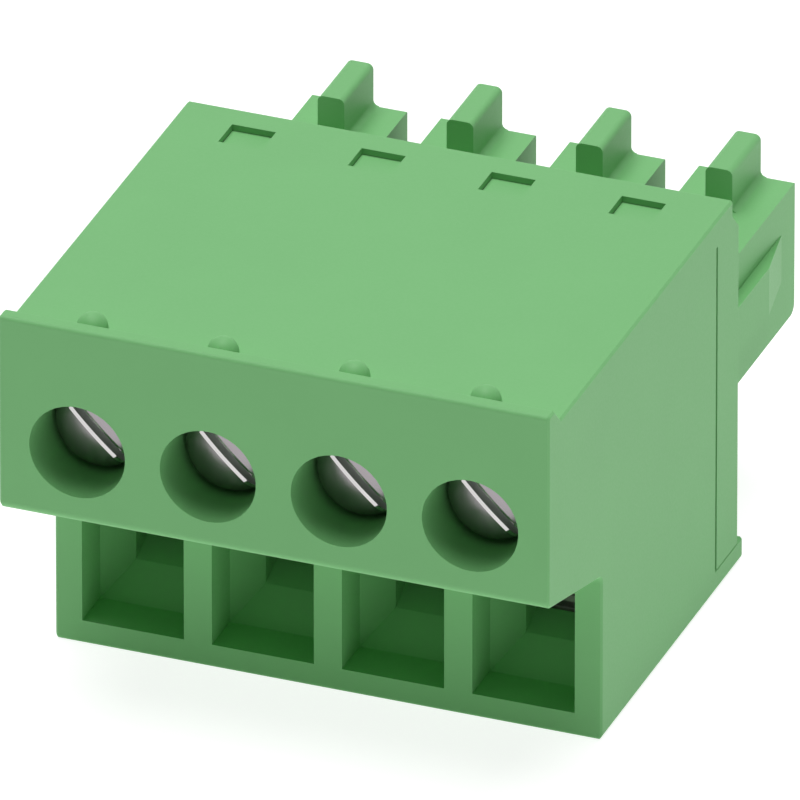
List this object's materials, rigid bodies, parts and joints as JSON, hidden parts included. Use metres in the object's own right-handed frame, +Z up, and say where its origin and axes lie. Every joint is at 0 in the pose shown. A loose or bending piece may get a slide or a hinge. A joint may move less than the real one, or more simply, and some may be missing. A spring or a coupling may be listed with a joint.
{
  "type": "pluggable terminal block",
  "caption": "Green plug-in screw terminal block: front screws above funnel wire entries, a stepped housing with a top lip, and a rear carrier with socket noses and coding ribs.",
  "frame": {"origin": "middle of the bounding box, on the bottom face", "axes": "+X to the right seen from the wire side, +Y from the wire side to the plug noses, +Z up"},
  "size_m": [0.016, 0.0214, 0.0122],
  "materials": {
    "housing_green": "fine moulded satin",
    "carrier_green": "fine moulded satin",
    "screw_steel": "zinc plated",
    "nut_plated": "nickel plated",
    "lever_steel": "zinc plated",
    "contact_tin": "tin plated",
    "spring_steel": "bright spring strip"
  },
  "bodies": {
    "root": {"front_housing": "housing_green", "contact_carrier": "carrier_green", "socket_contact_1": "contact_tin", "over_spring_1": "spring_steel", "socket_contact_2": "contact_tin", "over_spring_2": "spring_steel", "socket_contact_3": "contact_tin", "over_spring_3": "spring_steel", "socket_contact_4": "contact_tin", "over_spring_4": "spring_steel"},
    "clamp_screw_1": {"clamp_screw_1": "screw_steel"},
    "clamp_nut_1": {"clamp_nut_1": "nut_plated"},
    "clamp_lever_1": {"clamp_lever_1": "lever_steel"},
    "clamp_screw_2": {"clamp_screw_2": "screw_steel"},
    "clamp_nut_2": {"clamp_nut_2": "nut_plated"},
    "clamp_lever_2": {"clamp_lever_2": "lever_steel"},
    "clamp_screw_3": {"clamp_screw_3": "screw_steel"},
    "clamp_nut_3": {"clamp_nut_3": "nut_plated"},
    "clamp_lever_3": {"clamp_lever_3": "lever_steel"},
    "clamp_screw_4": {"clamp_screw_4": "screw_steel"},
    "clamp_nut_4": {"clamp_nut_4": "nut_plated"},
    "clamp_lever_4": {"clamp_lever_4": "lever_steel"}
  },
  "joints": [
    {"name": "screw_turn_1", "type": "hinge", "parent": "root", "child": "clamp_screw_1", "pos_m": [-0.00571, -0.00808, 0.00839], "axis": [0, 1, 0], "range_deg": [0, 900.9]},
    {"name": "nut_draw_1", "type": "slide", "parent": "root", "child": "clamp_nut_1", "axis": [0, -1, 0], "range_m": [0, 0.001]},
    {"name": "lever_swing_1", "type": "hinge", "parent": "root", "child": "clamp_lever_1", "pos_m": [-0.00571, -0.0011, 0.0051], "axis": [1, 0, 0], "range_deg": [0, 36.36]},
    {"name": "screw_turn_2", "type": "hinge", "parent": "root", "child": "clamp_screw_2", "pos_m": [-0.00191, -0.00808, 0.00839], "axis": [0, 1, 0], "range_deg": [0, 900.9]},
    {"name": "nut_draw_2", "type": "slide", "parent": "root", "child": "clamp_nut_2", "axis": [0, -1, 0], "range_m": [0, 0.001]},
    {"name": "lever_swing_2", "type": "hinge", "parent": "root", "child": "clamp_lever_2", "pos_m": [-0.00191, -0.0011, 0.0051], "axis": [1, 0, 0], "range_deg": [0, 36.36]},
    {"name": "screw_turn_3", "type": "hinge", "parent": "root", "child": "clamp_screw_3", "pos_m": [0.00191, -0.00808, 0.00839], "axis": [0, 1, 0], "range_deg": [0, 900.9]},
    {"name": "nut_draw_3", "type": "slide", "parent": "root", "child": "clamp_nut_3", "axis": [0, -1, 0], "range_m": [0, 0.001]},
    {"name": "lever_swing_3", "type": "hinge", "parent": "root", "child": "clamp_lever_3", "pos_m": [0.00191, -0.0011, 0.0051], "axis": [1, 0, 0], "range_deg": [0, 36.36]},
    {"name": "screw_turn_4", "type": "hinge", "parent": "root", "child": "clamp_screw_4", "pos_m": [0.00571, -0.00808, 0.00839], "axis": [0, 1, 0], "range_deg": [0, 900.9]},
    {"name": "nut_draw_4", "type": "slide", "parent": "root", "child": "clamp_nut_4", "axis": [0, -1, 0], "range_m": [0, 0.001]},
    {"name": "lever_swing_4", "type": "hinge", "parent": "root", "child": "clamp_lever_4", "pos_m": [0.00571, -0.0011, 0.0051], "axis": [1, 0, 0], "range_deg": [0, 36.36]}
  ],
  "couplings": [
    {"joint": "screw_turn_1", "follows": "nut_draw_1", "rad_per_m": 15708},
    {"joint": "lever_swing_1", "follows": "nut_draw_1", "rad_per_m": 628.32},
    {"joint": "screw_turn_2", "follows": "nut_draw_2", "rad_per_m": 15708},
    {"joint": "lever_swing_2", "follows": "nut_draw_2", "rad_per_m": 628.32},
    {"joint": "screw_turn_3", "follows": "nut_draw_3", "rad_per_m": 15708},
    {"joint": "lever_swing_3", "follows": "nut_draw_3", "rad_per_m": 628.32},
    {"joint": "screw_turn_4", "follows": "nut_draw_4", "rad_per_m": 15708},
    {"joint": "lever_swing_4", "follows": "nut_draw_4", "rad_per_m": 628.32}
  ]
}
